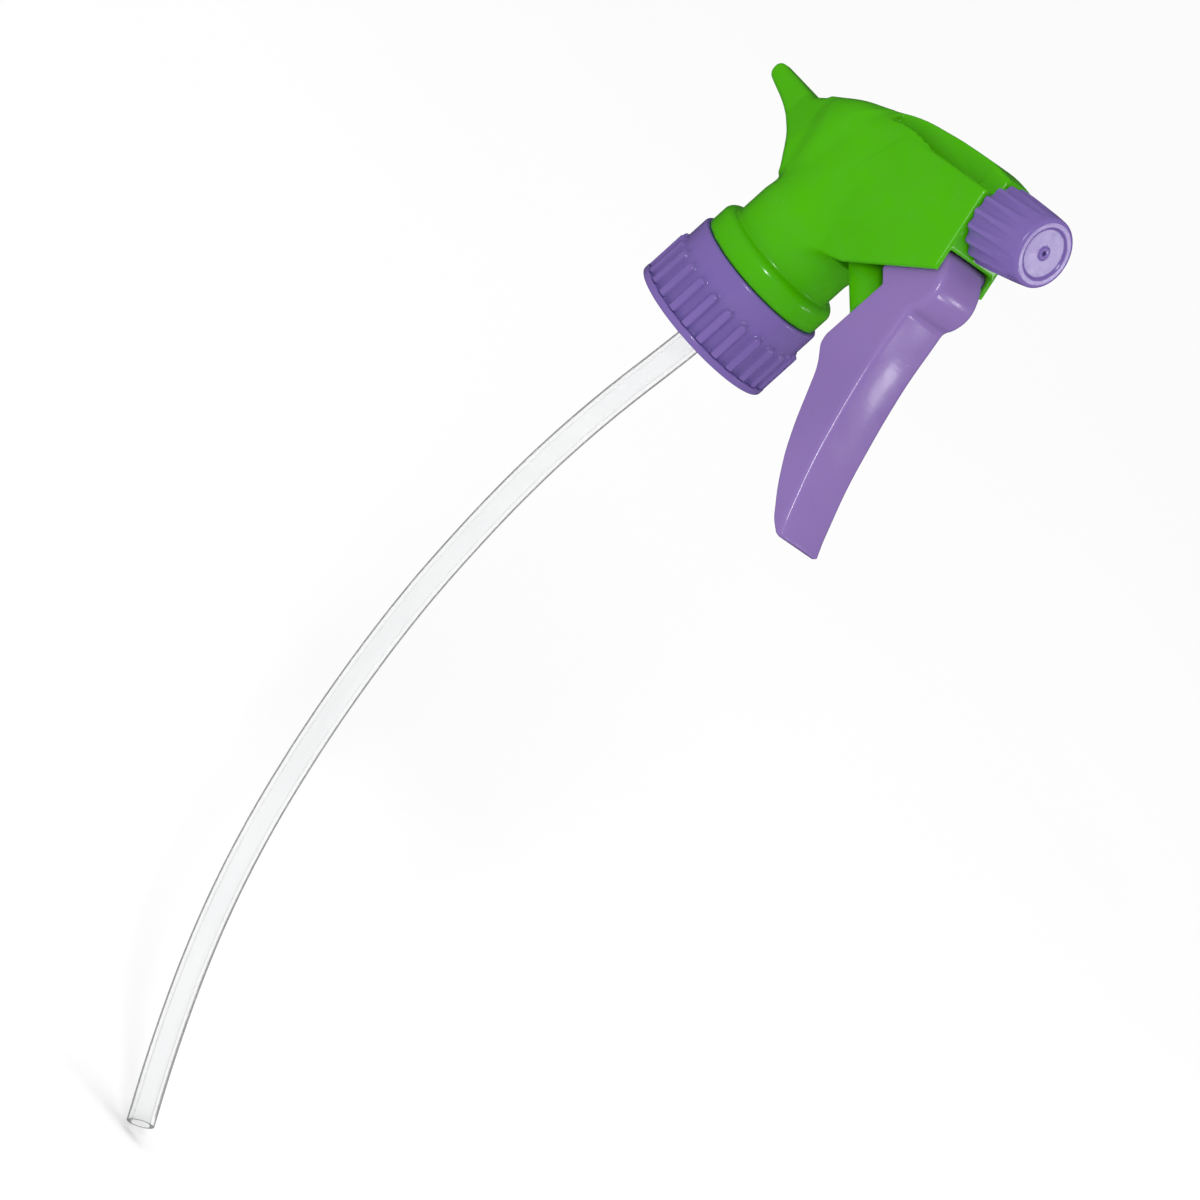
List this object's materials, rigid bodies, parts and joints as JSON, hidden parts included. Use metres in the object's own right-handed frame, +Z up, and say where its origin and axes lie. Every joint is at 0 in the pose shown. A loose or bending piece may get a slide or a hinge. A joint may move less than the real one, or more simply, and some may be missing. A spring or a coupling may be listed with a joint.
{
  "type": "hand mister",
  "caption": "Trigger spray head for a garden mister, with a screw closure, adjustable nozzle, lever pump and curved dip tube.",
  "frame": {"origin": "centre of the plane that the bottle's mouth seals against, on the closure's axis", "axes": "+Z up the closure's axis, away from the bottle; +X forward, to the side of the nozzle and trigger; Y = 0 is the plane of symmetry"},
  "size_m": [0.1014, 0.0348, 0.2688],
  "materials": {
    "green_plastic": "glossy moulded polypropylene",
    "purple_plastic": "glossy moulded polypropylene",
    "natural_plastic": "satin natural polypropylene",
    "seal": "soft white polyethylene",
    "clear_tube": "translucent extruded polyethylene",
    "steel": "stainless wire and ball"
  },
  "bodies": {
    "head": {"housing": "green_plastic", "intake": "natural_plastic", "gasket": "seal", "dip_tube": "clear_tube", "spinner": "natural_plastic", "return_spring": "steel", "outlet_spring": "steel"},
    "closure": {"closure": "purple_plastic"},
    "trigger": {"trigger": "purple_plastic"},
    "piston": {"piston": "natural_plastic", "piston_cup": "seal"},
    "inlet_ball": {"inlet_ball": "steel"},
    "outlet_valve": {"outlet_valve": "seal"},
    "nozzle_packing": {"nozzle_packing": "seal"},
    "nozzle_cap": {"nozzle_cap": "purple_plastic"}
  },
  "joints": [
    {"name": "closure_spin", "type": "hinge", "parent": "head", "child": "closure", "pos_m": [0, 0, 0], "axis": [0, 0, 1], "continuous": true},
    {"name": "trigger_pull", "type": "hinge", "parent": "head", "child": "trigger", "pos_m": [0.0335, 0, 0.0405], "axis": [0, 1, 0], "range_deg": [0, 22], "stiffness_Nm_per_rad": 0.35, "springref_deg": -20.05},
    {"name": "piston_slide", "type": "slide", "parent": "head", "child": "piston", "axis": [0.891, 0, -0.454], "range_m": [-0.0072, 0], "deforming": ["return_spring"]},
    {"name": "inlet_ball_lift", "type": "slide", "parent": "head", "child": "inlet_ball", "axis": [0, 0, 1], "range_m": [0, 0.0012]},
    {"name": "outlet_valve_lift", "type": "slide", "parent": "head", "child": "outlet_valve", "axis": [0.9397, 0, 0.342], "range_m": [0, 0.0008], "stiffness_N_per_m": 20, "springref_m": -0.0005, "deforming": ["outlet_spring"]},
    {"name": "nozzle_advance", "type": "slide", "parent": "head", "child": "nozzle_packing", "axis": [0.9397, 0, 0.342], "range_m": [0, 0.003]},
    {"name": "nozzle_turn", "type": "hinge", "parent": "nozzle_packing", "child": "nozzle_cap", "pos_m": [0, 0, 0.0408], "axis": [0.9397, 0, 0.342], "range_deg": [0, 360]}
  ],
  "couplings": [
    {"joint": "piston_slide", "follows": "trigger_pull", "m_per_rad": -0.0185},
    {"joint": "nozzle_turn", "follows": "nozzle_advance", "rad_per_m": 2094.4}
  ]
}
